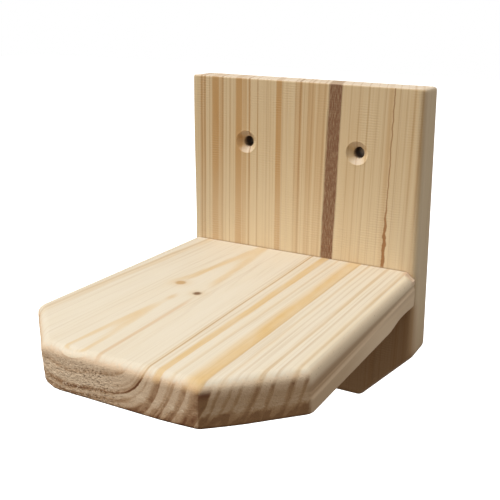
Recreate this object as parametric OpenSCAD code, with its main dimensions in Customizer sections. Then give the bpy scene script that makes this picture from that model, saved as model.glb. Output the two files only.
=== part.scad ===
// Cat wall step: a wooden step board butted against a wooden back plate.
// The board is drawn up to the plate by three screws from behind, and two dowels keep it from turning.
// Millimetres, +Z up, +Y towards the wall. The origin is on the wall, midway between the two wall holes.

/* [Back plate] */
// Width of the back plate
plate_w = 145; // [130:1:200]
// Height of the back plate
plate_h = 180; // [160:1:260]
// Thickness of the back plate
plate_t = 20; // [16:0.5:28]
// How far each lower corner is cut off, along both edges
plate_cut = 31; // [10:1:50]
// Radius routed round the sides, cut corners and bottom of the plate's front
plate_round = 4; // [1:0.5:8]
// Radius sanded along the plate's top front edge
plate_ease = 1; // [0.5:0.1:3]

/* [Step board] */
// How far each side of the step board lies inside the plate's side
step_side_in = 0.5; // [0:0.5:12]
// Depth of the step board, from the plate to its front edge
step_d = 163; // [120:1:220]
// Thickness of the step board
step_t = 20; // [18:0.5:28]
// How far each front corner is cut off, along both edges
step_cut = 32; // [10:1:50]
// Radius routed round the top of the step's sides, cut corners and front
step_round = 4.5; // [1:0.5:8]
// Height of the step's underside above the bottom of the plate
step_rise = 60; // [40:1:70]
// How deep the router bit reached down the step's two sides
side_depth = 9.5; // [9:0.5:12]
// How far the bit cut into the sides, which leaves a fine shoulder below it
side_shoulder = 0.3; // [0.1:0.1:0.6]

/* [Wall holes] */
// Distance between the two wall holes
wall_hole_spacing = 70; // [50:1:90]
// Diameter of the wall holes
wall_hole_d = 6.5; // [4:0.5:8]
// Diameter of the wall holes' countersinks at the front
wall_sink_d = 12.8; // [9:0.1:16]
// Distance of the wall holes below the top of the plate
wall_hole_drop = 37.4; // [20:0.2:50]

/* [Joint] */
// Length of the joint screws
screw_length = 60; // [45:1:80]
// Diameter of the screws' heads
screw_head_d = 9; // [8:0.1:10]
// Height of the straight rim of the screws' heads
screw_rim = 0.6; // [0.3:0.1:1]
// Diameter of the screws' smooth shanks
screw_shank_d = 3.4; // [3.2:0.1:4]
// Length of the smooth shanks, from the top of the head
screw_shank = 18; // [10:1:30]
// Diameter of the screws' cores below the shank, without the thread
screw_core_d = 2.8; // [2.2:0.1:3.1]
// Length of the screws' points
screw_point = 6; // [3:0.5:9]
// Distance of the outer screws from the sides of the step
screw_side_in = 22; // [14:1:34]
// How deep the heads sit below the plate's rear face
head_depth = 0.5; // [0.2:0.1:1.5]
// Diameter of the dowels
dowel_d = 8; // [5:0.5:10]
// Length of the dowels
dowel_length = 40; // [25:1:60]
// How much of each dowel is in the plate
dowel_in_plate = 12; // [8:0.5:13]
// Width of the small bevel at the dowels' ends
dowel_bevel = 0.8; // [0.4:0.1:1.5]

/* [Screw drive] */
// Width across the cross slot in the screws' heads
drive_span = 4.6; // [3:0.1:5.5]
// Width of each arm of the cross slot
drive_arm = 1.1; // [0.8:0.1:1.4]
// Depth of the cross slot
drive_depth = 2; // [1:0.1:2.4]

/* [Clearances] */
// Gap round the screws' heads in their countersinks
head_gap = 0.05; // [0.02:0.01:0.15]
// Gap round the smooth shanks in the plate
shank_gap = 0.2; // [0.05:0.05:0.5]
// Gap round the screws' cores in the step
core_gap = 0.05; // [0.02:0.01:0.15]
// Gap round the dowels in their holes
dowel_gap = 0.05; // [0.02:0.01:0.15]
// Room past the screws' points and at both ends of the dowels
end_room = 1; // [0.5:0.1:2]

/* [Hidden] */
$fn = 64;
overrun = 1;
// Radius of a routed round over its reach, a hair above 1 so that it meets each face in a clean line
round_swell = 1.002;

// Heights above the bottom of the plate
wall_hole_height = plate_h - wall_hole_drop;
joint_height = step_rise + step_t / 2;

step_w = plate_w - 2 * step_side_in;

// The dowels lie halfway between the screws
screw_spacing = step_w / 2 - screw_side_in;
screw_places = [-screw_spacing, 0, screw_spacing];
dowel_places = [-screw_spacing / 2, screw_spacing / 2];
dowel_in_step = dowel_length - dowel_in_plate;

// A board's outline from its far left corner round the near cut corners to its far right one,
// with the near edge on Y = 0 and the board centred on X
function board_outline(width, length, cut) = [
    [-width / 2, length],
    [-width / 2, cut],
    [-width / 2 + cut, 0],
    [width / 2 - cut, 0],
    [width / 2, cut],
    [width / 2, length]
];

// What the router takes off an edge that runs along +X, with the board on its +Y and -Z sides:
// a quarter round that starts an inset in from the edge and, under it, a shoulder down to depth
module edge_cutter(run, radius, inset = 0, depth = 0) {
    translate([0, -overrun, -radius]) difference() {
        cube([run, overrun + inset + radius, radius + overrun]);
        translate([-overrun, overrun + inset + radius, 0])
            rotate([0, 90, 0])
                cylinder(h = run + 2 * overrun, r = radius * round_swell);
    }
    if (inset > 0)
        translate([0, -overrun, -depth])
            cube([run, overrun + inset, depth]);
}

// The cutters along an open outline, each long enough to meet the next in a mitre
module routed_edges(outline, radius, insets, depth) {
    reach = radius + overrun;
    for (i = [0 : len(outline) - 2]) {
        edge = outline[i + 1] - outline[i];
        translate([outline[i].x, outline[i].y, 0])
            rotate([0, 0, atan2(edge.y, edge.x)])
                translate([-reach, 0, 0])
                    edge_cutter(norm(edge) + 2 * reach, radius, insets[i], depth);
    }
}

// A board lying flat with its routed face up, in its outline's place
module board(width, length, thickness, cut, radius, side_inset = 0, side_reach = 0) {
    outline = board_outline(width, length, cut);
    insets = [side_inset, 0, 0, 0, side_inset];
    difference() {
        linear_extrude(thickness) polygon(outline);
        translate([0, 0, thickness]) routed_edges(outline, radius, insets, side_reach);
    }
}

// A hole from Z = 0 down with a right-angled countersink at its mouth
module sunk_hole(hole_d, sink_d, depth) {
    sink = (sink_d - hole_d) / 2;
    translate([0, 0, -depth]) cylinder(h = depth + overrun, d = hole_d);
    translate([0, 0, -sink]) cylinder(h = sink + overrun, d1 = hole_d, d2 = sink_d + 2 * overrun);
}

// A wood screw with its head's top on Z = 0 and its point down
module joint_screw() {
    head_r = screw_head_d / 2;
    shank_r = screw_shank_d / 2;
    core_r = screw_core_d / 2;
    color([0.78, 0.76, 0.70]) difference() {
        rotate_extrude() polygon([
            [0, 0],
            [head_r, 0],
            [head_r, -screw_rim],
            [shank_r, -screw_rim - head_r + shank_r],
            [shank_r, -screw_shank],
            [core_r, -screw_shank],
            [core_r, -screw_length + screw_point],
            [0, -screw_length]
        ]);
        for (turn = [0, 90])
            rotate([0, 0, turn])
                translate([-drive_span / 2, -drive_arm / 2, -drive_depth])
                    cube([drive_span, drive_arm, drive_depth + overrun]);
    }
}

// The room that a joint screw takes in the two boards, in the screw's own place
module screw_room() {
    mouth_r = screw_head_d / 2 + head_gap;
    shank_r = screw_shank_d / 2 + shank_gap;
    translate([0, 0, -screw_rim]) cylinder(h = screw_rim + head_depth + overrun, r = mouth_r);
    translate([0, 0, -screw_rim - mouth_r + shank_r])
        cylinder(h = mouth_r - shank_r, r1 = shank_r, r2 = mouth_r);
    translate([0, 0, head_depth - plate_t - overrun])
        cylinder(h = plate_t + overrun - head_depth - screw_rim, r = shank_r);
}

module screw_pilot() {
    depth = screw_length + end_room;
    translate([0, 0, -depth]) cylinder(h = depth, d = screw_core_d + 2 * core_gap);
}

// A dowel along Z with the joint's plane on Z = 0 and the plate above it
module dowel() {
    core = dowel_length - 2 * dowel_bevel;
    color([0.90, 0.80, 0.63]) translate([0, 0, -dowel_in_step]) rotate_extrude() polygon([
        [0, 0],
        [dowel_d / 2 - dowel_bevel, 0],
        [dowel_d / 2, dowel_bevel],
        [dowel_d / 2, dowel_bevel + core],
        [dowel_d / 2 - dowel_bevel, dowel_length],
        [0, dowel_length]
    ]);
}

module dowel_room() {
    translate([0, 0, -dowel_in_step - end_room])
        cylinder(h = dowel_length + 2 * end_room, d = dowel_d + 2 * dowel_gap);
}

// Sets what it holds at a place along the joint, with +Z towards the wall,
// as far from the wall as its own Z = 0 lies
module at_joint(place, from_wall) {
    translate([place, -from_wall, joint_height - wall_hole_height]) rotate([-90, 0, 0]) children();
}

module back_plate() {
    color([0.80, 0.66, 0.47]) difference() {
        translate([0, 0, -wall_hole_height]) rotate([90, 0, 0]) difference() {
            board(plate_w, plate_h, plate_t, plate_cut, plate_round);
            translate([plate_w / 2 + overrun, plate_h, plate_t])
                rotate([0, 0, 180])
                    edge_cutter(plate_w + 2 * overrun, plate_ease);
            for (side = [-1, 1])
                translate([side * wall_hole_spacing / 2, wall_hole_height, plate_t])
                    sunk_hole(wall_hole_d, wall_sink_d, plate_t + overrun);
        }
        for (place = screw_places) at_joint(place, head_depth) screw_room();
        for (place = dowel_places) at_joint(place, plate_t) dowel_room();
    }
}

module step_board() {
    color([0.92, 0.85, 0.70]) difference() {
        translate([0, -plate_t - step_d, step_rise - wall_hole_height])
            board(step_w, step_d, step_t, step_cut, step_round, side_shoulder, side_depth);
        for (place = screw_places) at_joint(place, head_depth) screw_pilot();
        for (place = dowel_places) at_joint(place, plate_t) dowel_room();
    }
}

back_plate();
step_board();
at_joint(screw_places[0], head_depth) joint_screw();  // joint_screw_left
at_joint(screw_places[1], head_depth) joint_screw();  // joint_screw_centre
at_joint(screw_places[2], head_depth) joint_screw();  // joint_screw_right
at_joint(dowel_places[0], plate_t) dowel();  // dowel_left
at_joint(dowel_places[1], plate_t) dowel();  // dowel_right
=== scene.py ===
"""The looks of the cat wall step: two bare softwood boards, with the screws and dowels that join them.

Sizes here are millimetres in the row's frame, until the meshes are scaled to metres.
"""
import math
import bmesh
import bpy
from mathutils import Matrix, Vector, noise
from mathutils.geometry import delaunay_2d_cdt


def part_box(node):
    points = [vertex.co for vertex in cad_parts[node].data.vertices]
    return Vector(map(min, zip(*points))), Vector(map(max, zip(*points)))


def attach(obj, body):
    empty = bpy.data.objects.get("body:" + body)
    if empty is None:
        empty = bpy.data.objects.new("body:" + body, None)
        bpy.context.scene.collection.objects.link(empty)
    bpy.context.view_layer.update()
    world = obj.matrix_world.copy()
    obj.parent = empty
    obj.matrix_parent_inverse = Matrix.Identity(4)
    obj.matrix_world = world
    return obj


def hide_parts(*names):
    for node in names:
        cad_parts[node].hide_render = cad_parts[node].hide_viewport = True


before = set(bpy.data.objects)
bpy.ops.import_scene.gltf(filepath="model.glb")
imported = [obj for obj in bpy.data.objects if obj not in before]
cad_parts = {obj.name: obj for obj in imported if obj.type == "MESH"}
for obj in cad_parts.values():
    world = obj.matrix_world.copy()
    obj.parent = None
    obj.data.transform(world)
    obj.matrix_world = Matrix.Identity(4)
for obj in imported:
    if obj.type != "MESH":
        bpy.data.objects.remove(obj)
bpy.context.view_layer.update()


# Camera: the photograph's viewing angle, with the object where the photograph has it

AZIMUTH, ELEVATION, ROLL = (math.radians(angle) for angle in (25.72, 11.0, 1.31))
CAMERA_TARGET = Vector((0.0251, -0.0635, -0.0001))
CAMERA_DISTANCE = 0.3896
SENSOR_MM = 36
FOCAL_PIXELS = 774
IMAGE_PIXELS = 500


def make_camera():
    back = Vector((
        math.sin(AZIMUTH) * math.cos(ELEVATION),
        -math.cos(AZIMUTH) * math.cos(ELEVATION),
        math.sin(ELEVATION),
    ))
    level = Vector((math.cos(AZIMUTH), math.sin(AZIMUTH), 0))
    upright = back.cross(level)
    right = level * math.cos(ROLL) + upright * math.sin(ROLL)
    up = upright * math.cos(ROLL) - level * math.sin(ROLL)
    place = CAMERA_TARGET + back * CAMERA_DISTANCE
    data = bpy.data.cameras.new("camera")
    data.sensor_width = SENSOR_MM
    data.lens = SENSOR_MM * FOCAL_PIXELS / IMAGE_PIXELS
    data.shift_x = -0.1116
    data.shift_y = -0.1708
    camera = bpy.data.objects.new("camera", data)
    camera.matrix_world = Matrix((
        (right.x, up.x, back.x, place.x),
        (right.y, up.y, back.y, place.y),
        (right.z, up.z, back.z, place.z),
        (0, 0, 0, 1),
    ))
    bpy.context.scene.collection.objects.link(camera)
    bpy.context.scene.camera = camera


make_camera()


# Board meshes. A board has its own u, v, w: u across, v along the outline's length and w the depth
# below the routed face.

ROUND_ROWS = 9  # rows of points round an edge's round
CLOSEST_ROWS = 0.02
BORDER_MARGIN = 0.3  # how far the points inside a flat side keep from its borders
BOW = 1.2e-5  # how strongly the borders of a flat side are bowed while it is divided
SHARP_ANGLE = 0.6  # edges that turn more than this, in radians, stay sharp
METRES = 0.001
# The edges of an outline. Each starts at the corner of the same number.
LEFT, LEFT_CUT, NEAR, RIGHT_CUT, RIGHT, FAR = range(6)


def fade(value, start, end):
    """Smoothly from 0 at start to 1 at end, whichever of them is larger."""
    t = max(0.0, min(1.0, (value - start) / (end - start)))
    return t * t * (3 - 2 * t)


def quarter_round(radius, depth):
    """How far a round of this radius lies inside the edge, at a depth below the face."""
    if depth >= radius:
        return 0.0
    return radius - math.sqrt(radius**2 - (radius - depth)**2)


def eased_rows(thickness, fine, coarse, upper, lower):
    """Depths of the rows of points down a board's edge: close at both rounds, coarse between."""
    turns = [1 - math.cos(math.pi / 2 * i / ROUND_ROWS) for i in range(ROUND_ROWS + 1)]
    rows = set([upper * turn for turn in turns] + [thickness - lower * turn for turn in turns] + fine)
    between = thickness - upper - lower
    steps = int(between / coarse)
    rows |= {upper + between * i / steps for i in range(steps)}
    rows = sorted(rows)
    kept = [rows[0]]
    for row in rows[1:]:
        if row - kept[-1] > CLOSEST_ROWS:
            kept.append(row)
    kept[-1] = thickness
    return kept


def offset_corner(corner, before, after, inset_before, inset_after):
    """Where two neighbouring edges meet once each is moved in by its own inset."""
    out_before = Vector((before.y, -before.x))
    out_after = Vector((after.y, -after.x))
    turn = out_before.x * out_after.y - out_before.y * out_after.x
    if abs(turn) < 1e-6:
        return corner - out_before * inset_before
    x = (-inset_before * out_after.y + inset_after * out_before.y) / turn
    y = (-inset_after * out_before.x + inset_before * out_after.x) / turn
    return corner + Vector((x, y))


def inside(spot, border, margin):
    """True if a spot lies inside a border by more than a margin."""
    within = False
    nearest = 1e9
    for i in range(len(border)):
        a, b = border[i - 1], border[i]
        if (a.y > spot.y) != (b.y > spot.y):
            if spot.x < (b.x - a.x) * (spot.y - a.y) / (b.y - a.y) + a.x:
                within = not within
        way = b - a
        t = max(0.0, min(1.0, (spot - a).dot(way) / max(way.length_squared, 1e-12)))
        nearest = min(nearest, (a + way * t - spot).length)
    return (nearest if within else -nearest) > margin


class Board:
    """Collects the points and faces of one board. Its grid has a column of points down each place of the edge.

    inset and softness say how far an edge lies in and a corner is softened at a depth. A board that isn't
    closed has no points down its far edge.
    """

    def __init__(self, corners, rows, inset, counts, softness, closed):
        self.points = []
        self.faces = []
        corners = [Vector(c) for c in corners]
        size = len(corners)
        ways = [(corners[(i + 1) % size] - corners[i]).normalized() for i in range(size)]
        edges = size if closed else size - 1
        lines = []
        for row in rows:
            insets = [inset(i, row) for i in range(size)]
            met = [offset_corner(corners[i], ways[i - 1], ways[i], insets[i - 1], insets[i])
                   for i in range(size)]
            line = []
            for i in range(edges):
                start, end = met[i], met[(i + 1) % size]
                soft_start, soft_end = softness(i, row), softness((i + 1) % size, row)
                first = start + ways[i] * soft_start
                last = end - ways[i] * soft_end
                if soft_start:
                    line += self.bend(start - ways[i - 1] * soft_start, start, first)[1:-1]
                line += [first.lerp(last, j / counts[i]) for j in range(counts[i] + 1)]
            lines.append(line)
        self.grid = [[self.add(line[c].x, line[c].y, row) for line, row in zip(lines, rows)]
                     for c in range(len(lines[0]))]
        span = len(self.grid) if closed else len(self.grid) - 1
        for c in range(span):
            here, there = self.grid[c], self.grid[(c + 1) % len(self.grid)]
            for r in range(len(rows) - 1):
                self.faces.append((here[r], here[r + 1], there[r + 1], there[r]))

    @staticmethod
    def bend(start, middle, end, steps=6):
        """Points on a curve from start to end that middle pulls at."""
        shares = [i / steps for i in range(steps + 1)]
        return [start * (1 - t)**2 + middle * 2 * t * (1 - t) + end * t**2 for t in shares]

    def add(self, u, v, w):
        self.points.append(Vector((u, v, w)))
        return len(self.points) - 1

    def join(self, start, end, count):
        """Points on the straight line between two points, with both of them."""
        a, b = self.points[start], self.points[end]
        between = [self.add(*a.lerp(b, i / count)) for i in range(1, count)]
        return [start] + between + [end]

    def ring(self, centre, radius, depth, count=40):
        return [self.add(
            centre[0] + radius * math.cos(2 * math.pi * i / count),
            centre[1] + radius * math.sin(2 * math.pi * i / count),
            depth) for i in range(count)]

    def bore(self, mouth, rings, floor=False):
        """Walls from a mouth through more rings, closed by a floor if the hole is blind."""
        for ring in rings:
            for i in range(len(ring)):
                j = (i + 1) % len(ring)
                self.faces.append((mouth[i], mouth[j], ring[j], ring[i]))
            mouth = ring
        if floor:
            tip = self.add(*(sum((self.points[i] for i in mouth), Vector()) / len(mouth)))
            for i in range(len(mouth)):
                self.faces.append((mouth[i], mouth[(i + 1) % len(mouth)], tip))

    def cap(self, outer, holes, flat, lift, spacing, extra=()):
        """Fills a flat side. flat gives a point's two coordinates there and lift makes a point of two.

        Straight borders are bowed inwards while it is divided, so that no face skips a point on them.
        """
        index, spots, lines, borders = [], [], [], []
        for loop in [outer] + holes:
            first = len(spots)
            index += loop
            borders.append([Vector(flat(self.points[i])) for i in loop])
            spots += borders[-1]
            lines += [(first + i, first + (i + 1) % len(loop)) for i in range(len(loop))]
        low = Vector((min(p.x for p in borders[0]), min(p.y for p in borders[0])))
        high = Vector((max(p.x for p in borders[0]), max(p.y for p in borders[0])))
        inner = [Vector(e) for e in extra]
        for r in range(1, int((high.y - low.y) / spacing)):
            for c in range(int((high.x - low.x) / spacing) + 1):
                inner.append(Vector((low.x + spacing * (c + 0.5 * (r % 2)), low.y + spacing * r)))
        for spot in inner:
            in_hole = any(inside(spot, b, -BORDER_MARGIN) for b in borders[1:])
            if inside(spot, borders[0], BORDER_MARGIN) and not in_hole:
                spots.append(spot)
                index.append(None)
        centre = (low + high) / 2

        def bowed(spot):
            away = spot - centre
            return spot + away * away.length_squared * BOW

        vertices, _, faces, sources = delaunay_2d_cdt([bowed(s) for s in spots], lines, [], 0, 1e-6)[:4]
        number = []
        for source in sources:
            known = [index[s] for s in source if index[s] is not None]
            number.append(known[0] if known else self.add(*lift(spots[source[0]])))
        borders = [[bowed(s) for s in border] for border in borders]
        for face in faces:
            middle = sum((vertices[i] for i in face), Vector((0, 0))) / len(face)
            if inside(middle, borders[0], 0) and not any(inside(middle, b, 0) for b in borders[1:]):
                self.faces.append(tuple(number[i] for i in face))

    def piece(self, name, place):
        mesh = bpy.data.meshes.new(name)
        mesh.from_pydata([place(p) * METRES for p in self.points], [], self.faces)
        work = bmesh.new()
        work.from_mesh(mesh)
        bmesh.ops.delete(work, geom=[v for v in work.verts if not v.link_faces], context="VERTS")
        bmesh.ops.recalc_face_normals(work, faces=work.faces)
        for face in work.faces:
            face.smooth = True
        for edge in work.edges:
            edge.smooth = edge.calc_face_angle(0) < SHARP_ANGLE
        work.to_mesh(mesh)
        work.free()
        made = bpy.data.objects.new(name, mesh)
        bpy.context.scene.collection.objects.link(made)
        made.modifiers.new("normals", "WEIGHTED_NORMAL").keep_sharp = True
        return made


def outline_of(width, length, cut):
    half = width / 2
    return [(-half, length), (-half, cut), (-half + cut, 0), (half - cut, 0), (half, cut), (half, length)]


def box_mm(node):
    low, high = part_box(node)
    return Vector(low) * 1000, Vector(high) * 1000


def middle_x(node):
    low, high = box_mm(node)
    return (low.x + high.x) / 2


SCREW_XS = [middle_x(n) for n in ("joint_screw_left", "joint_screw_centre", "joint_screw_right")]
DOWEL_XS = [middle_x(n) for n in ("dowel_left", "dowel_right")]
JOINT_Z = sum(c.z for c in box_mm("dowel_left")) / 2


# The step board

STEP_LOW, STEP_HIGH = box_mm("step_board")
STEP_W = STEP_HIGH.x - STEP_LOW.x
STEP_D = STEP_HIGH.y - STEP_LOW.y
STEP_T = STEP_HIGH.z - STEP_LOW.z
STEP_CUT = 32
STEP_ROUND = 4.5
LOWER_ROUND = 1.6
SIDE_DEPTH = 9.5  # of the shoulder that the router bit left in the sides
SHOULDER = 0.3
SIDE_LOWER_ROUND = 0.5
SAWN_LOWER_ROUND = 2.8
SAWN_SLANT = 0.075  # how far the left cut leans in for each millimetre of depth
CHIP_IN, CHIP_DOWN = 4.8, 4.1
STEP_SOFTNESS = (0, 2.4, 2.2, 1.4, 2.6, 0)
STEP_COUNTS = (56, 80, 170, 90, 90)  # stretches along each edge but the far one
STEP_FAR_COUNT = 48
STEP_HOLE_SIDES = 32
FACE_SPACING, JOINT_SPACING = 14, 7  # between the points inside the flat sides
SCREW_PILOT = (1.45, 41.0)  # radius and depth
STEP_DOWEL_HOLE = (4.05, 29.0)
DIAGONAL = 0.7071  # of the cuts, which stand at 45 degrees


def step_inset(edge, depth):
    """How far an edge of the outline lies in at a depth."""
    if edge == FAR:
        return 0.0
    inset = quarter_round(STEP_ROUND, depth)
    if edge in (LEFT, RIGHT):
        shoulder = SHOULDER * fade(depth, SIDE_DEPTH + 0.9, SIDE_DEPTH - 0.3)
        return inset + shoulder + quarter_round(SIDE_LOWER_ROUND, STEP_T - depth)
    if edge == LEFT_CUT:
        return inset + SAWN_SLANT * depth + quarter_round(SAWN_LOWER_ROUND, STEP_T - depth)
    return inset + quarter_round(LOWER_ROUND, STEP_T - depth)


def step_softness(corner, depth):
    """How far a vertex of the outline is softened. The front left one is blunter below."""
    blunter = 1.2 * fade(depth, 8, 18) if corner == NEAR else 0
    return STEP_SOFTNESS[corner] + blunter


def from_cut(out, v):
    """How far a point lies in from a cut. out is its distance from the middle line, to the cut's side."""
    return (STEP_W / 2 - out + v - STEP_CUT) / math.sqrt(2)


def knocked(u, v, w):
    """The knocked-off vertex at the front left and the sanded one at the front right."""
    moved = Vector()
    for side, reach, depth in ((-1, 8.0, 0.7), (1, 14.0, 0.8)):
        near = 1.0
        for away in (v, from_cut(side * u, v), STEP_T - w):
            near *= max(0.0, 1 - max(0.0, away) / reach)
        moved += Vector((-side * 0.35, 0.62, -0.75)) * depth * near ** 1.3
    return moved


def sawn(u, v, w):
    """The left cut was sawn a little deeper at its front end."""
    deeper = 0.65 * fade(u, -STEP_W / 2, STEP_CUT - STEP_W / 2 - 2) * fade(from_cut(-u, v), 8, 3)
    return Vector((deeper, deeper, 0))


def waned(u, v, w):
    """The bark edge along the right lower arris, near the plate."""
    along = STEP_D - v
    wane = fade(along, 40, 20) * (1.1 + 0.5 * fade(along, 0, 14))
    over = wane * max(0.0, 1 - (STEP_T - w) / 7) * fade(u, STEP_W / 2 - 8, STEP_W / 2 - 0.5)
    return Vector((-0.3 * over, 0, -over))


def chipped(u, v, w):
    """The chip at the right end of the top, next to the plate."""
    off = max(0.0, 1 - (STEP_W / 2 - u) / CHIP_IN - w / CHIP_DOWN)
    slope = Vector((-1 / CHIP_IN, 0, 1 / CHIP_DOWN))
    uneven = 1 + noise.noise(Vector((u, v, w)) * 0.5) * 0.5
    return slope * off / slope.length_squared * fade(v, STEP_D - 9, STEP_D - 3) * uneven


def routed(u, v, w):
    """The router's hollow in the sides, which runs up towards the plate, with the shoulder below it."""
    over_side = fade(abs(u), STEP_W / 2 - 3, STEP_W / 2 - 0.8) * fade(v, STEP_CUT - 2, STEP_CUT + 3)
    along = (v - STEP_CUT) / (STEP_D - STEP_CUT)
    lowered = 1.6 - 2.6 * along
    shoulder = SIDE_DEPTH + lowered
    reach = 6.0 - 3.4 * along
    dip = fade(w, shoulder - reach, shoulder - 0.5) * fade(w, shoulder + 2.6 - 1.4 * along, shoulder - 0.1)
    hollow = (0.75 - 0.4 * along) * dip
    down = lowered * fade(w, SIDE_DEPTH - 5, SIDE_DEPTH - 0.5) * fade(w, SIDE_DEPTH + 6, SIDE_DEPTH + 0.5)
    return Vector((-math.copysign(hollow, u), 0, down)) * over_side


def torn(u, v, w):
    """Torn end grain on the front and the cuts, deepest at the front's left."""
    off_cut = from_cut(abs(u), v)
    rough = fade(w, 1.2, 4.5) * fade(min(v, off_cut), STEP_ROUND + 2, 1.5)
    deeper = 0.3 + 0.9 * fade(u, 12, -16) * fade(w, 2.5, 7)
    spot = Vector((u * 0.9, v * 0.9, w * 1.3))
    lump = sum(noise.noise(spot * scale) * share for scale, share in ((0.45, 0.4), (1.1, 0.5), (2.0, 0.3)))
    dent = max(0.0, 0.45 + lump) * 0.26 * rough * deeper
    inward = Vector((0, 1, 0)) if v < off_cut else Vector((-math.copysign(DIAGONAL, u), DIAGONAL, 0))
    return inward * dent


def step_point(p):
    """Moves a point of the clean board to where the worn board has it."""
    place = p
    for change in (knocked, sawn, waned, chipped, routed, torn):
        place = place + change(*p)
    return place


def make_step():
    close_rows = [SIDE_DEPTH + 0.2 * i for i in range(-2, 6)]
    rows = eased_rows(STEP_T, close_rows, 0.5, STEP_ROUND, LOWER_ROUND)
    outline = outline_of(STEP_W, STEP_D, STEP_CUT)
    board = Board(outline, rows, step_inset, STEP_COUNTS, step_softness, closed=False)
    grid = board.grid
    # Close points where the top and the underside are worn: by the chip, both front vertices and the wane
    by_chip = [(STEP_W / 2 - a, STEP_D - 1.3 * j) for a in (5.3, 6.3, 7.6, 9.2) for j in range(1, 10)]
    worn = [(x, y) for x in range(-46, -30) for y in range(1, 12)]
    worn += [(x, y) for x in range(26, 46, 2) for y in range(1, 14, 2)]
    worn += [(STEP_W / 2 - 0.9 * i, STEP_D - 1.4 * j) for i in range(1, 10) for j in range(1, 28)]
    top_far = board.join(grid[-1][0], grid[0][0], STEP_FAR_COUNT)
    low_far = board.join(grid[-1][-1], grid[0][-1], STEP_FAR_COUNT)
    for far, row, depth, extra in ((top_far, 0, 0, by_chip), (low_far, -1, STEP_T, worn)):
        board.cap([column[row] for column in grid] + far[1:-1], [], lambda p: (p.x, p.y),
                  lambda s: (s.x, s.y, depth), FACE_SPACING, extra)
    joint_w = STEP_HIGH.z - JOINT_Z
    angles = [2 * math.pi * i / STEP_HOLE_SIDES for i in range(STEP_HOLE_SIDES)]
    holes = []
    for xs, (radius, depth) in ((SCREW_XS, SCREW_PILOT), (DOWEL_XS, STEP_DOWEL_HOLE)):
        for x in xs:
            around = [(x + radius * math.cos(a), joint_w + radius * math.sin(a)) for a in angles]
            mouth = [board.add(a, STEP_D, b) for a, b in around]
            board.bore(mouth, [[board.add(a, STEP_D - depth, b) for a, b in around]], floor=True)
            holes.append(mouth)
    border = top_far + grid[0][1:-1] + low_far[::-1] + grid[-1][-2:0:-1]
    board.cap(border, holes, lambda p: (p.x, p.z), lambda s: (s.x, STEP_D, s.y), JOINT_SPACING)
    board.points = [step_point(p) for p in board.points]
    return board.piece("step_board_shaped",
                       lambda p: Vector((p.x, STEP_LOW.y + p.y, STEP_HIGH.z - p.z)))


# The back plate

PLATE_LOW, PLATE_HIGH = box_mm("back_plate")
PLATE_W = PLATE_HIGH.x - PLATE_LOW.x
PLATE_H = PLATE_HIGH.z - PLATE_LOW.z
PLATE_T = PLATE_HIGH.y - PLATE_LOW.y
PLATE_CUT = 31
PLATE_ROUND = 4
PLATE_TOP_ROUND = 1.0
PLATE_BACK_ROUND = 0.6
PLATE_SOFTNESS = (1.6, 3.0, 2.0, 2.0, 3.0, 2.2)
PLATE_COUNTS = (60, 24, 40, 24, 60, 60)
WALL_HOLE_X = 35
# The holes' walls from the front to the back: radius and depth
WALL_HOLE = (
    (7.4, 0), (7.1, -0.07), (6.8, -0.13), (6.5, -0.04), (6.3, 0.12), (3.35, 3.08), (3.25, 3.3),
    (3.25, 8), (3.25, 14), (3.25, PLATE_T - 0.3), (3.55, PLATE_T))
SCREW_HOLE = (
    (1.9, 0), (1.9, 10), (1.9, PLATE_T - 3.75), (4.55, PLATE_T - 1.1), (4.55, PLATE_T - 0.2),
    (4.7, PLATE_T))
PLATE_DOWEL_HOLE = ((4.05, 0), (4.05, 13))


def plate_inset(edge, depth):
    upper = PLATE_TOP_ROUND if edge == FAR else PLATE_ROUND
    return quarter_round(upper, depth) + quarter_round(PLATE_BACK_ROUND, PLATE_T - depth)


def plate_softness(corner, depth):
    return PLATE_SOFTNESS[corner]


def plate_point(p):
    """The left edge is less rounded at the top and leans in towards the step."""
    u, v, w = p
    off = PLATE_W / 2 + u
    from_top = PLATE_H - v
    near = fade(off, 9, 4)
    sharper = 0.6 * fade(from_top, 90, 0) * min(off, 1.6) * fade(w, 4.2, 2.0) if off < 9 else 0
    lean = 0.8 * fade(from_top, 30, 100) * near
    return p + Vector((lean - sharper, 0, 0))


def make_plate():
    rows = eased_rows(PLATE_T, [0.05, 0.2, 0.4, 0.7], 1.6, PLATE_ROUND, PLATE_BACK_ROUND)
    outline = outline_of(PLATE_W, PLATE_H, PLATE_CUT)
    board = Board(outline, rows, plate_inset, PLATE_COUNTS, plate_softness, closed=True)
    wall_v, joint_v = -PLATE_LOW.z, JOINT_Z - PLATE_LOW.z
    holes = [(x, wall_v, WALL_HOLE) for x in (-WALL_HOLE_X, WALL_HOLE_X)]
    holes += [(x, joint_v, SCREW_HOLE) for x in SCREW_XS]
    holes += [(x, joint_v, PLATE_DOWEL_HOLE) for x in DOWEL_XS]
    front, rear = [], []
    for x, v, rings in holes:
        blind = rings is PLATE_DOWEL_HOLE
        made = [board.ring((x, v), radius, depth) for radius, depth in rings]
        board.bore(made[0], made[1:], floor=blind)
        front.append(made[0])
        if not blind:
            rear.append(made[-1])
    for row, depth, mouths in ((0, 0, front), (-1, PLATE_T, rear)):
        board.cap([column[row] for column in board.grid], mouths, lambda p: (p.x, p.y),
                  lambda s: (s.x, s.y, depth), FACE_SPACING)
    board.points = [plate_point(p) for p in board.points]
    return board.piece("back_plate_shaped",
                       lambda p: Vector((p.x, PLATE_LOW.y + p.z, PLATE_LOW.z + p.y)))


# Materials

BANDS_IN_A_NODE = 7
# The sockets of a mix node that mixes colours
MIX_SHARE, MIX_ONE, MIX_OTHER, MIX_RESULT = 0, 6, 7, 2


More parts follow.
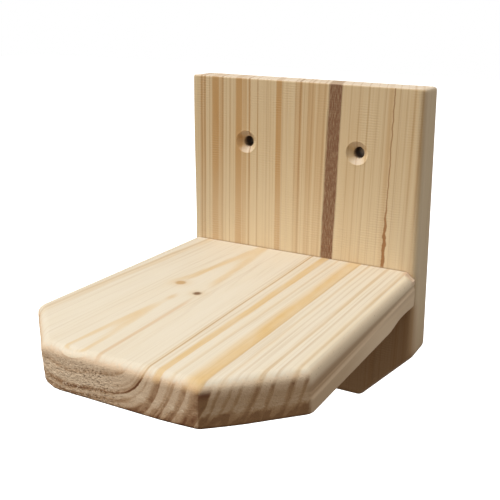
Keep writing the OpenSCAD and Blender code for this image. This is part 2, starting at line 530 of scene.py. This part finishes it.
class Signal:
    """A value in a material's nodes that can be reckoned with."""

    def __init__(self, graph, socket):
        self.graph = graph
        self.socket = socket

    def __add__(self, other):
        return self.graph.math("ADD", self, other)

    def __radd__(self, other):
        return self.graph.math("ADD", other, self)

    def __sub__(self, other):
        return self.graph.math("SUBTRACT", self, other)

    def __rsub__(self, other):
        return self.graph.math("SUBTRACT", other, self)

    def __mul__(self, other):
        return self.graph.math("MULTIPLY", self, other)

    def __truediv__(self, other):
        return self.graph.math("DIVIDE", self, other)


class Graph:
    """Makes the nodes of a material or of the world."""

    def __init__(self, tree):
        self.tree = tree

    def node(self, kind, **settings):
        made = self.tree.nodes.new(kind)
        for name, value in settings.items():
            setattr(made, name, value)
        return made

    def feed(self, socket, value):
        if isinstance(value, Signal):
            self.tree.links.new(value.socket, socket)
        elif isinstance(value, tuple):
            socket.default_value = (*value, 1.0)
        else:
            socket.default_value = value

    def math(self, operation, *values):
        made = self.node("ShaderNodeMath", operation=operation)
        for socket, value in zip(made.inputs, values):
            self.feed(socket, value)
        return Signal(self, made.outputs[0])

    def most(self, a, b):
        return self.math("MAXIMUM", a, b)

    def least(self, a, b):
        return self.math("MINIMUM", a, b)

    def root(self, a):
        return self.math("SQRT", a)

    def size(self, a):
        return self.math("ABSOLUTE", a)

    def bell(self, distance, width):
        """1 at no distance, fading out over a width."""
        share = distance / width
        return self.math("EXPONENT", share * share * -1.0)

    def fade(self, value, start, end):
        """Smoothly from 0 at start to 1 at end, as the function fade does for numbers."""
        made = self.node("ShaderNodeMapRange", interpolation_type="SMOOTHSTEP")
        self.feed(made.inputs["Value"], value)
        self.feed(made.inputs["From Min"], start)
        self.feed(made.inputs["From Max"], end)
        return Signal(self, made.outputs[0])

    def parts(self, output):
        """The three parts of a texture coordinate."""
        spot = self.node("ShaderNodeTexCoord")
        made = self.node("ShaderNodeSeparateXYZ")
        self.tree.links.new(spot.outputs[output], made.inputs[0])
        return [Signal(self, made.outputs[i]) for i in range(3)]

    def noise(self, x, y, z, detail=2.0, roughness=0.5, shift=0.0):
        """Noise about 0, with one cell to each unit of x, y and z."""
        joined = self.node("ShaderNodeCombineXYZ")
        for socket, value in zip(joined.inputs, (x + shift, y, z)):
            self.feed(socket, value)
        made = self.node("ShaderNodeTexNoise")
        self.tree.links.new(joined.outputs[0], made.inputs["Vector"])
        made.inputs["Scale"].default_value = 1.0
        made.inputs["Detail"].default_value = detail
        made.inputs["Roughness"].default_value = roughness
        return Signal(self, made.outputs[0]) - 0.5

    def bands(self, value, bands, drop=0.35):
        """Tones along a value. Each band rises from its start to full, holds to its end and then drops."""
        total = None
        for first in range(0, len(bands), BANDS_IN_A_NODE):
            part = bands[first:first + BANDS_IN_A_NODE]
            low, high = part[0][0] - 1.0, part[-1][2] + 1.0
            stops = [(low, 0.0)]
            for start, full, end, tone in part:
                stops += [(start, 0.0), (full, tone), (end, tone), (end + drop, 0.0)]
            stops = [((at - low) / (high - low), (tone, tone, tone)) for at, tone in stops]
            shown = self.ramp((value - low) / (high - low), stops)
            total = shown if total is None else self.most(total, shown)
        return total

    def ramp(self, value, stops):
        """The colours of the stops along a value from 0 to 1."""
        made = self.node("ShaderNodeValToRGB")
        while len(made.color_ramp.elements) < len(stops):
            made.color_ramp.elements.new(0.5)
        for element, (at, colour) in zip(made.color_ramp.elements, stops):
            element.position = at
            element.color = (*colour, 1.0)
        self.feed(made.inputs[0], value)
        return Signal(self, made.outputs[0])

    def mix(self, share, one, other):
        """One colour where the share is 0 and the other where it is 1."""
        made = self.node("ShaderNodeMix", data_type="RGBA")
        for socket, value in ((MIX_SHARE, share), (MIX_ONE, one), (MIX_OTHER, other)):
            self.feed(made.inputs[socket], value)
        return Signal(self, made.outputs[MIX_RESULT])

    def tint(self, colour, *layers):
        """Lays each share of a tone over a colour, one after the other."""
        for share, tone in layers:
            colour = self.mix(share, colour, tone)
        return colour


class Surface(Graph):
    """The nodes of a new material. x, y and z are the point on the surface, in the row's millimetres."""

    def __init__(self, name):
        self.material = bpy.data.materials.new(name)
        self.material.use_nodes = True
        super().__init__(self.material.node_tree)
        self.shader = self.tree.nodes["Principled BSDF"]
        self.x, self.y, self.z = [part * 1000.0 for part in self.parts("Object")]

    def facing(self):
        """The parts of the surface's own direction, without sign."""
        return [self.size(part) for part in self.parts("Normal")]

    def grain(self, in_x, in_y, in_z, **settings):
        """Noise about 0, with so many cells in a millimetre of x, y and z."""
        return self.noise(self.x * in_x, self.y * in_y, self.z * in_z, **settings)

    def finish(self, colour, height, bump, roughness):
        self.feed(self.shader.inputs["Base Color"], colour)
        made = self.node("ShaderNodeBump")
        made.inputs["Strength"].default_value = 1.0
        made.inputs["Distance"].default_value = bump
        self.feed(made.inputs["Height"], height)
        self.tree.links.new(made.outputs[0], self.shader.inputs["Normal"])
        self.feed(self.shader.inputs["Roughness"], roughness)
        self.shader.inputs["Specular IOR Level"].default_value = 0.3
        return self.material


# Growth rings of the step, by their distance from the pith: start, full, end, tone.
# The lines are late wood, the ambers its broad yellow bands and the ends what shows dark on end grain only.
STEP_LINES = [
    (11.6, 12.0, 12.2, 0.14), (19.8, 20.6, 20.9, 0.14), (21.8, 22.2, 22.4, 0.24), (23.0, 23.3, 23.8, 0.86),
    (25.8, 26.4, 26.8, 0.16), (37.6, 38.6, 39.1, 0.20), (50.8, 51.6, 52.1, 0.36), (53.6, 54.0, 54.3, 0.14),
    (56.2, 57.0, 57.4, 0.26), (59.5, 60.2, 60.7, 0.24), (62.3, 63.0, 63.5, 0.24), (66.7, 67.8, 68.5, 0.42),
    (71.4, 72.3, 72.9, 0.30), (76.8, 77.8, 78.5, 0.38), (81.0, 81.8, 82.3, 0.30), (85.4, 86.2, 86.8, 0.18),
]
STEP_AMBERS = [
    (6.4, 7.1, 7.7, 0.46), (10.5, 11.3, 12.0, 0.46), (21.6, 22.6, 24.0, 0.22), (28.1, 29.6, 33.0, 0.66),
    (36.6, 38.4, 39.0, 0.22), (42.6, 47.0, 51.9, 0.70), (55.8, 57.0, 57.8, 0.20), (65.6, 67.6, 68.6, 0.28),
    (75.8, 77.8, 78.8, 0.28), (84.6, 86.2, 87.0, 0.12),
]
STEP_ENDS = [
    (8.6, 9.5, 9.8, 0.20), (13.6, 16.0, 16.4, 0.24), (21.4, 23.2, 23.8, 0.34), (29.4, 32.0, 34.0, 0.44),
    (38.8, 40.0, 40.7, 0.34), (43.4, 45.2, 46.3, 0.42), (47.8, 50.6, 54.8, 0.50), (66.0, 67.8, 68.8, 0.24),
    (76.8, 78.0, 78.9, 0.16),
]
# The step's knots: where they are in x and y, radius, colour
STEP_KNOTS = [(-30.0, -94.2, 3.0, (0.55, 0.35, 0.165)), (-13.8, -103.2, 2.3, (0.20, 0.10, 0.045))]
STEP_HALO = (0.66, 0.45, 0.22)  # the colour round the knots
# The pith runs above the board's top, left of its middle, and sinks away towards the plate
PITH_X = -22.4
LEFT_REACH = 6.0  # how far left of the pith the rings are evenly curved
JOINT_SHADE_WIDTH = 0.5  # of the painted shade along the joint


class StepWood(Surface):
    """The step's softwood. One field of rings runs through its top, its front, its cuts and its sides."""

    def __init__(self):
        super().__init__("step_softwood")
        x, y = self.x, self.y
        self.depth = STEP_HIGH.z - self.z
        self.along = (y - (STEP_LOW.y + STEP_CUT)) / (STEP_D - STEP_CUT)
        self.shallow = self.fade(self.depth, 13.0, 7.0)
        self.upper = self.fade(self.depth, 8.5, 4.0)
        self.faces_side, self.faces_front, self.faces_up = self.facing()
        self.side = self.fade(self.faces_side, 0.55, 0.9)
        self.cut = self.fade(self.faces_side, 0.3, 0.5) * self.fade(x, 30.0, 38.0)
        self.ring = self.rings()
        self.knots = [self.knot(*knot) for knot in STEP_KNOTS]
        self.patchy = self.grain(0.08, 0.02, 0.08, shift=11.0) * 0.9 + 1.0
        # The far flame's legs end at the knots
        legs = 1.0 - self.bell(self.ring - 11.4, 2.2) * self.fade(y, -82.0, -98.0) * 0.95
        line = self.bands(self.ring, STEP_LINES) * self.patchy * legs
        self.line = line * (self.fade(x, -10.0, 6.0) * 0.5 + 0.5)
        ragged = self.ring + self.grain(0.7, 0.05, 0.7, detail=3.0, shift=81.0) * 1.1
        amber = self.bands(ragged, STEP_AMBERS, drop=0.6) * legs
        amber = amber * (self.grain(0.1, 0.035, 0.1, detail=3.0, shift=85.0) * 1.5 + 1.0)
        self.amber = amber * (1.0 - self.fade(self.depth, 0.2, 1.4) * self.fade(x, 0.0, -12.0))
        self.fibre = self.grain(2.8, 0.04, 2.8, detail=3.0)
        self.speck = self.grain(1.5, 1.5, 1.5, detail=4.0, roughness=0.7)

    def rings(self):
        """The distance from the pith, squeezed and wandering as the rings are in the photograph."""
        x, y = self.x, self.y
        run = y - STEP_LOW.y
        sunk = self.depth * 1.14 + run * 0.038 + 5.6
        squeeze = 14.5 - run * 0.0166
        right = x - PITH_X - self.fade(x, -20.0, 8.0) * squeeze + self.fade(x, 14.0, 26.0) * (squeeze - 11.8)
        left = PITH_X - x
        left = self.least(left, LEFT_REACH) + self.most(left - LEFT_REACH, 0.0) * 0.45
        across = self.most(right, left)
        ring = self.root(across * across + sunk * sunk)
        wander = self.grain(0.05, 0.012, 0.05) * 1.2 + self.grain(0.25, 0.03, 0.25, shift=7.0) * 0.7
        return ring + wander * self.fade(ring, 4.0, 24.0)

    def knot(self, knot_x, knot_y, radius, colour):
        """Bends the rings round a knot and gives its layers of colour: the halo and the knot itself."""
        x, y = self.x, self.y
        dx, dy = x - knot_x + self.depth * 0.25, y - knot_y
        reach = self.root(dx * dx + dy * dy * 1.1)
        self.ring = self.ring - self.bell(reach, radius * 2.4) * radius * 0.4
        wobble = reach + self.grain(0.6, 0.6, 0.6, shift=3.0)
        halo = self.bell(reach, radius * 1.8) * self.shallow * 0.45
        core = self.fade(wobble, radius + 0.8, radius - 1.4) * self.shallow
        return (halo, STEP_HALO), (core * 0.95, colour)

    def long_grain(self):
        """The colour along the grain: the top and what is drawn on it."""
        x, y, z = self.x, self.y, self.z
        broad = self.grain(0.16, 0.014, 0.16, shift=21.0)
        fine = self.fade(self.noise(self.ring * 1.1, y * 0.012, z * 0.05, detail=3.0, shift=27.0), 0.0, 0.22)
        fine = fine * (self.fade(x, 26.0, 44.0) * 0.3 + 0.7) * self.fade(self.size(x + 22.0), 5.0, 14.0)
        streak = self.fade(self.grain(0.75, 0.005, 0.3, detail=3.0, shift=77.0), 0.02, 0.20)
        drawn = self.line * 0.9 + fine * 0.24 + streak * 0.15 + self.fibre * 0.18
        # A brown line from the near knot to the front, and a tan fleck beside it
        from_line = self.size(x + 11.8 + (y + 108.0) * 0.036)
        brown = self.fade(from_line, 1.6, 0.4) * self.fade(y, -106.0, -122.0) * self.shallow
        fleck_x, fleck_y = (x + 22.0) / 1.8, (y + 113.0) / 4.0
        fleck = self.bell(self.root(fleck_x * fleck_x + fleck_y * fleck_y), 1.0) * self.shallow
        plain = self.mix(broad * 0.9 + self.fibre * 0.35 + 0.5, (0.775, 0.69, 0.56), (0.745, 0.645, 0.48))
        return self.tint(
            plain,
            (self.amber, (0.69, 0.45, 0.175)),
            (drawn, (0.50, 0.33, 0.17)),
            (brown * 0.45, (0.62, 0.36, 0.15)),
            *self.knots[0], *self.knots[1],
            (fleck * 0.6, STEP_HALO))

    def sides(self, colour):
        """Paints light and shade on the sides over a colour: a warmer tone over each side, painted light on
        the upper side and on the round, painted shade in the hollow, and along the lower strip painted shade
        near the front and painted light near the plate.
        """
        along, depth = self.along, self.depth
        shoulder = 11.1 - along * 2.6
        hollow = self.fade(depth, shoulder - 6.4 + along * 2.6, shoulder - 1.8 + along * 1.2)
        hollow = hollow * self.fade(depth, shoulder + 3.0 - along * 2.0, shoulder + 0.6) * self.side
        rounded = self.fade(self.faces_side, 0.10, 0.40) * self.fade(self.faces_front, 0.5, 0.2)
        rounded = rounded * self.fade(self.size(self.x), 64.0, 69.0) * (1.0 - self.side) * self.upper
        lower = self.side * self.fade(depth, 10.5, 13.0)
        return self.tint(
            colour,
            (self.side * 0.7, (0.79, 0.575, 0.37)),
            (self.side * self.upper * (along * 0.5 + 0.6), (0.98, 0.80, 0.57)),
            (rounded * (along * 0.3 + 0.3), (1.0, 0.82, 0.56)),
            (lower * (0.5 - along * 0.8), (0.50, 0.33, 0.19)),
            (lower * self.fade(along, 0.25, 0.65) * 0.55, (0.98, 0.77, 0.54)),
            (hollow * (0.8 - along * 0.65), (0.47, 0.29, 0.155)))

    def chip(self, colour):
        """Darkens the chip at the right end of the top."""
        x, y = self.x, self.y
        chip = self.fade(y, -29.0, -22.5) * self.fade(x, 64.0, 67.5) * self.fade(self.depth, 6.5, 4.5)
        ripped = self.grain(1.2, 1.2, 1.2, detail=3.0, shift=95.0)
        return self.mix(chip * (ripped * 1.2 + 0.55), colour, (0.66, 0.42, 0.28))

    def end_grain(self):
        """The colour of the front and the cuts. Also keeps what is torn there for the relief."""
        x, y = self.x, self.y
        depth, ring, cut, speck = self.depth, self.ring, self.cut, self.speck
        # Flecks and pits lie along the rings where the end grain is torn
        torn_here = self.fade(x, 10.0, -10.0) * self.fade(depth, 2.0, 5.0)
        fleck = self.noise(x * 0.7, y * 0.7, ring * 1.5, detail=3.0, roughness=0.6, shift=40.0)
        pits = self.fade(fleck, 0.06, 0.14) * self.fade(depth, 3.0, 6.0) * self.bell(x + 8.0, 12.0)
        self.relief = speck * 1.6 - fleck * torn_here * 2.2 - pits * 1.5
        glint = self.noise(x * 0.9, y * 0.9, depth * 1.6, detail=3.0, roughness=0.65, shift=44.0)
        glints = self.fade(glint, 0.03, 0.13) * torn_here
        # The lower part is darker, and spotted where the rings cross it
        low = self.fade(depth + self.grain(0.3, 0.3, 0.3, shift=50.0) * 4.0, 12.6, 16.2)
        spots = self.fade(self.noise(ring * 0.36, depth * 0.12, 0.0, shift=60.0), -0.05, 0.10) * low
        scraped = self.noise(x * 0.5, y * 0.5, depth * 1.1, detail=3.0, shift=70.0)
        pale = self.bell(depth - 12.4, 1.6) * self.fade(scraped, -0.04, 0.16)
        foot = self.fade(depth + speck * 1.5, 17.2, 18.6)
        # The dark wedge at the front's right vertex
        wedge = self.fade(ring, 50.0, 51.0) * self.fade(ring, 55.4, 54.2)
        wedge = wedge * self.fade(depth + speck * 1.5, 2.4, 7.0) * cut
        fray = self.grain(0.8, 0.8, 0.8, detail=3.0, roughness=0.6, shift=90.0)
        frayed = ring + fray * (torn_here * 0.9 + 0.4)
        lines = self.most(
            self.bands(frayed, STEP_LINES) * (1.10 - torn_here * 0.74),
            self.bands(frayed, STEP_ENDS, drop=0.4))
        uneven = self.grain(0.3, 0.3, 0.22, shift=33.0) * 1.6 + 1.0
        tone = lines * self.patchy * self.fade(depth, 0.5, 5.0) * uneven
        tone = tone + speck * 0.30 + fleck * torn_here * 0.52 + low * 0.08 + foot * 0.2
        tone = tone + (low * 0.30 + spots * 0.78) * cut + spots * 0.26 + wedge * 0.6 - pale * 0.26
        tone = tone + self.fade(ring, 9.0, 9.8) * 0.09 + self.fade(x, 10.0, 34.0) * 0.05
        colour = self.ramp(tone, [
            (0.00, (0.94, 0.725, 0.50)), (0.32, (0.65, 0.425, 0.248)),
            (0.66, (0.37, 0.195, 0.095)), (1.00, (0.21, 0.085, 0.035))])
        on_round = self.fade(depth, 5.4, 2.6)
        crescent = self.fade(ring + speck * 1.2, 9.9, 8.8) * (1.0 - cut)
        return self.tint(
            colour,
            # Painted shade on the cuts below their round, and a painted highlight on the round
            (cut * self.fade(depth, 4.5, 8.0) * 0.5, (0.46, 0.27, 0.125)),
            (cut * on_round * 0.35, (1.0, 0.85, 0.63)),
            (self.amber * on_round * 0.8, (0.80, 0.51, 0.23)),
            (glints * 0.7, (0.98, 0.78, 0.55)),
            (pits * 0.75, (0.30, 0.16, 0.08)),
            (crescent * 0.75, (1.0, 0.86, 0.64)))

    def make(self):
        """The finished material: the long grain, with the end grain where the surface stands across it."""
        flat = self.faces_up + self.grain(0.7, 0.7, 0.7, detail=3.0) * 0.55
        end = self.fade(self.faces_front + self.grain(0.5, 0.5, 0.5, shift=17.0) * 0.5, 0.15, 0.6)
        end = end * self.fade(flat, 0.95, 0.30)
        colour = self.mix(end, self.chip(self.sides(self.long_grain())), self.end_grain())
        dots = self.fade(self.grain(1.2, 1.2, 1.2, shift=98.0), 0.12, 0.22) * self.bell(self.depth - 3.6, 2.2)
        colour = self.tint(
            colour,
            (dots * self.cut * 0.5, (0.42, 0.25, 0.13)),
            # Painted shade along the joint with the plate
            (self.bell(self.y - PLATE_LOW.y, JOINT_SHADE_WIDTH) * 0.6, (0.30, 0.17, 0.08)))
        height = self.fibre * 0.3 + self.line * 0.3 + end * self.relief
        return self.finish(colour, height, 0.00014, 0.62)


# Bands of the plate's face from left to right, in millimetres: start, full, end, tone.
PLATE_LINES = [
    (-66.4, -65.8, -65.4, 0.50), (-64.3, -63.7, -63.2, 0.42), (-60.7, -60.3, -60.0, 0.34),
    (-52.2, -51.3, -50.7, 0.34), (-49.3, -48.9, -48.6, 0.20), (-46.8, -46.3, -45.9, 0.36),
    (-44.2, -43.9, -43.6, 0.16), (-33.5, -33.0, -32.6, 0.52), (-28.2, -27.8, -27.3, 0.42),
    (-24.0, -23.7, -23.5, 0.10), (-22.0, -21.6, -21.2, 0.20), (-19.6, -19.3, -19.0, 0.16),
    (-11.9, -11.5, -11.2, 0.26), (-8.8, -8.4, -8.1, 0.14), (-3.9, -3.4, -2.9, 0.26),
    (-1.4, -0.7, 0.0, 0.46), (1.3, 1.7, 2.1, 0.20), (3.8, 4.2, 4.6, 0.22), (5.9, 6.5, 7.0, 0.26),
    (9.6, 10.0, 10.3, 0.16), (12.9, 13.5, 14.1, 0.24), (28.6, 29.0, 29.4, 0.20), (33.7, 34.1, 34.5, 0.26),
    (38.9, 39.5, 39.9, 0.28), (44.2, 44.6, 44.9, 0.20), (48.7, 49.1, 49.4, 0.24), (56.6, 57.1, 57.4, 0.26),
    (61.0, 61.4, 61.7, 0.12), (64.6, 65.1, 65.6, 0.22), (69.0, 69.6, 70.2, 0.18),
]
PLATE_AMBERS = [
    (-67.5, -66.0, -63.0, 0.30), (-58.8, -58.0, -54.0, 0.62), (-54.0, -53.6, -51.0, 0.34),
    (-43.0, -41.8, -38.2, 0.66), (-38.0, -37.6, -35.0, 0.40), (-34.4, -33.4, -32.6, 0.30),
    (-15.7, -15.2, -12.2, 0.66), (-4.4, -2.0, 0.6, 0.30), (2.4, 5.0, 8.0, 0.30), (8.4, 10.0, 14.6, 0.26),
    (25.0, 30.0, 36.0, 0.08), (50.2, 51.4, 53.2, 0.28), (63.6, 64.8, 66.0, 0.18), (68.0, 70.0, 72.0, 0.20),
]
SHOWN_MIDDLE = (PLATE_HIGH.z + STEP_HIGH.z) / 2  # of the part of the plate above the step
HOLE_SHADE_RADIUS = 3.3  # of the painted shade inside the wall holes


class PlateWood(Surface):
    """The plate's softwood: upright bands, a dark stripe, a pitch streak and the planer's ripples."""

    def __init__(self):
        super().__init__("plate_softwood")
        x, y, z = self.x, self.y, self.z
        lean = self.fade(x, -12.0, 22.0) * 0.036
        self.across = (
            x - lean * (z - SHOWN_MIDDLE) + (y - PLATE_LOW.y) * 0.32
            + self.grain(0.03, 0.03, 0.014) * 0.6 + self.grain(0.2, 0.1, 0.03, shift=5.0) * 0.4)
        patchy = self.grain(0.12, 0.1, 0.02, shift=9.0) * 0.9 + 1.0
        self.line = self.bands(self.across, PLATE_LINES, drop=0.3) * patchy
        self.amber = self.bands(self.across, PLATE_AMBERS, drop=0.5) * patchy
        self.fibre = self.noise(self.across * 2.4, y * 2.4, z * 0.03, detail=3.0)
        ripples = self.math("SINE", z * 4.4 + self.grain(0.3, 0.3, 0.1) * 4.0)
        self.planer = ripples * self.fade(self.grain(0.07, 0.06, 0.03, shift=14.0), -0.08, 0.15)
        self.front = self.fade(y, -12.0, -18.0)
        faces_side, _, faces_up = self.facing()
        self.side = self.fade(faces_side, 0.6, 0.95)
        self.end = self.fade(faces_up, 0.35, 0.8)
        edge = self.noise(self.across * 1.5, y * 0.5, z * 0.06, detail=3.0, shift=2.0) * 1.2
        stripe = self.fade(self.across + edge, 15.2, 16.8)
        self.stripe = stripe * self.fade(self.across + edge * 0.5, 24.4, 23.0)

    def pitch(self):
        """The pitch streak, which widens into beads low down."""
        z = self.z
        low = self.fade(z, -24.0, -46.0)
        wave = self.noise(3.0, 0.0, z * 0.11)
        bead = self.noise(5.0, 0.0, z * 0.25) * low
        away = self.size(self.across - 54.0 + wave * 2.2) - bead * 1.6
        streak = self.fade(away, low * 0.8 + 0.5, low * 0.45 + 0.2) * (low * 0.2 + 0.7)
        above_step = 1.0 - self.front * self.fade(z, -61.0, -64.0)
        return streak * (above_step * 0.85 + 0.15)

    def long_grain(self):
        """The colour of the face, the back and the sides."""
        y, z = self.y, self.z
        across, front, planer = self.across, self.front, self.planer
        streak = self.noise(across * 0.7, y * 0.3, z * 0.008, detail=3.0, shift=31.0)
        rings = self.fade(self.noise(across * 1.25, y * 0.1, z * 0.004, shift=45.0), 0.05, 0.16)
        grainy = self.noise(across * 2.6, y, z * 0.22, detail=4.0, roughness=0.65, shift=4.0)
        plain = self.mix(
            streak * 1.3 + self.fibre * 0.5 + planer * 0.11 + 0.5, (0.77, 0.60, 0.375), (0.71, 0.52, 0.285))
        # The step throws light on the plate above it and keeps it off below
        lit = self.fade(z, 5.0, -58.0) * self.fade(z, -66.0, -62.0) * front
        shaded = self.fade(z, -78.0, -84.0) * front
        return self.tint(
            plain,
            (self.amber * (planer * 0.2 + 1.3), (0.55, 0.30, 0.105)),
            (self.most(self.line * 1.3, rings * 0.24) + self.fibre * 0.28, (0.41, 0.195, 0.06)),
            (lit * 0.30, (0.90, 0.77, 0.54)),
            (shaded * 0.58, (0.56, 0.31, 0.145)),
            (self.stripe * (grainy * 1.9 + 0.92), (0.225, 0.105, 0.052)),
            (self.pitch(), (0.34, 0.145, 0.045)),
            # Painted light on the plate's sides, and painted shade on them lower down
            (self.side * 0.4, (0.84, 0.70, 0.53)),
            (self.side * self.fade(z, -75.0, -130.0) * 0.6, (0.46, 0.30, 0.17)))

    def make(self):
        """The finished material: the long grain, with the end grain on the top and bottom edges."""
        x, y, z = self.x, self.y, self.z
        speck = self.grain(1.4, 1.4, 1.4, detail=4.0, roughness=0.7)
        end_tone = self.line + self.amber * 0.5 + self.stripe * 0.6 + speck * 0.35 + 0.05
        end_grain = self.ramp(end_tone, [
            (0.00, (0.80, 0.66, 0.50)), (0.40, (0.66, 0.49, 0.33)), (1.00, (0.30, 0.17, 0.09))])
        # Painted shade inside the two wall holes
        hole_x = self.size(x) - WALL_HOLE_X
        hole_shade = self.fade(self.root(hole_x * hole_x + z * z), HOLE_SHADE_RADIUS + 0.3, HOLE_SHADE_RADIUS)
        hole_shade = hole_shade * self.fade(y, -17.6, -12.0) * (1.0 - self.fade(y, -10.0, -5.0) * 0.6)
        # Painted shade along the joint under the step's top, on the plate's front
        joint_shade = self.bell(z - STEP_HIGH.z, JOINT_SHADE_WIDTH) * self.fade(self.size(x), 67.5, 65.0) * self.front
        colour = self.tint(
            self.mix(self.end, self.long_grain(), end_grain),
            (hole_shade * 0.9, (0.085, 0.038, 0.016)),
            (joint_shade * 0.55, (0.28, 0.15, 0.07)))
        height = self.fibre * 0.4 + self.line * 0.3 + self.planer * 0.2 + self.end * speck * 1.5
        return self.finish(colour, height, 0.00012, 0.62)


def screw_metal():
    g = Surface("zinc_plated_steel")
    tint = g.grain(0.5, 0.5, 0.5, detail=3.0)
    colour = g.ramp(tint + 0.5, [(0.3, (0.52, 0.50, 0.42)), (0.7, (0.66, 0.65, 0.60))])
    g.shader.inputs["Metallic"].default_value = 1.0
    return g.finish(colour, g.grain(4.0, 4.0, 4.0, detail=3.0), 0.00003, tint * 0.2 + 0.34)


def dowel_wood():
    g = Surface("beech_dowel")
    fibre = g.grain(2.0, 0.12, 2.0, detail=3.0)
    fleck = g.grain(3.0, 0.8, 3.0, detail=1.0, shift=6.0)
    colour = g.ramp(fibre + fleck * 0.4 + 0.5, [(0.2, (0.50, 0.32, 0.18)), (0.8, (0.70, 0.51, 0.32))])
    return g.finish(colour, fibre, 0.00008, 0.62)


for piece, node, slot_name, material in (
    (make_step(), "step_board", "step_wood", StepWood().make()),
    (make_plate(), "back_plate", "plate_wood", PlateWood().make()),
):
    piece.data.materials.append(material)
    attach(piece, "root")
    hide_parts(node)

metal, beech = screw_metal(), dowel_wood()
for node, material in (
    ("joint_screw_left", metal), ("joint_screw_centre", metal), ("joint_screw_right", metal),
    ("dowel_left", beech), ("dowel_right", beech),
):
    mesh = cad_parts[node].data
    for i in range(len(mesh.materials)):
        mesh.materials[i] = material


# Stage and light

FLOOR_Z = -0.9
FLOOR_REACH = 12
LIGHT_PLACE = (-1.26, -1.36, 2.25)
LIGHT_TARGET = (0, -0.09, -0.06)


def make_light():
    data = bpy.data.lights.new("key", "AREA")
    data.energy = 72
    data.size = 1.6
    lamp = bpy.data.objects.new("key", data)
    lamp.location = LIGHT_PLACE
    lamp.rotation_euler = (Vector(LIGHT_TARGET) - lamp.location).to_track_quat("-Z", "Y").to_euler()
    bpy.context.scene.collection.objects.link(lamp)


def make_stage():
    """A bright floor that throws nothing back on the part, far below it because the part hangs on a wall."""
    mesh = bpy.data.meshes.new("floor")
    corners = [(x * FLOOR_REACH, y * FLOOR_REACH, FLOOR_Z) for x, y in ((-1, -1), (1, -1), (1, 1), (-1, 1))]
    mesh.from_pydata(corners, [], [(0, 1, 2, 3)])
    floor = bpy.data.objects.new("floor", mesh)
    bpy.context.scene.collection.objects.link(floor)
    material = bpy.data.materials.new("pale_floor")
    material.use_nodes = True
    shader = material.node_tree.nodes["Principled BSDF"]
    shader.inputs["Base Color"].default_value = (0.9, 0.9, 0.9, 1)
    shader.inputs["Roughness"].default_value = 0.9
    shader.inputs["Emission Color"].default_value = (1, 1, 1, 1)
    shader.inputs["Emission Strength"].default_value = 1.0
    floor.data.materials.append(material)
    floor.visible_diffuse = False
    floor.visible_glossy = False
    floor.visible_shadow = False


def make_world():
    """White to the camera. The part sees a pale sky, brighter behind it on the right, over a brown ground."""
    world = bpy.data.worlds.new("studio")
    world.use_nodes = True
    g = Graph(world.node_tree)
    x, y, z = g.parts("Generated")
    above = g.fade(z, -0.25, 0.65)
    behind_right = g.fade(x * 0.64 + y * 0.30 + z * 0.70, 0.30, 1.0)
    level = g.mix(above, (0.085, 0.058, 0.04), (0.42, 0.42, 0.415))
    level = g.mix(behind_right, level, (0.80, 0.80, 0.78))
    shade = g.tree.nodes["Background"]
    g.feed(shade.inputs["Color"], level)
    plain = g.node("ShaderNodeBackground")
    plain.inputs["Color"].default_value = (1, 1, 1, 1)
    sight = g.node("ShaderNodeLightPath")
    choose = g.node("ShaderNodeMixShader")
    g.tree.links.new(sight.outputs["Is Camera Ray"], choose.inputs[0])
    g.tree.links.new(shade.outputs[0], choose.inputs[1])
    g.tree.links.new(plain.outputs[0], choose.inputs[2])
    g.tree.links.new(choose.outputs[0], g.tree.nodes["World Output"].inputs[0])
    bpy.context.scene.world = world


make_stage()
make_world()
make_light()
bpy.context.scene.view_settings.view_transform = "Standard"
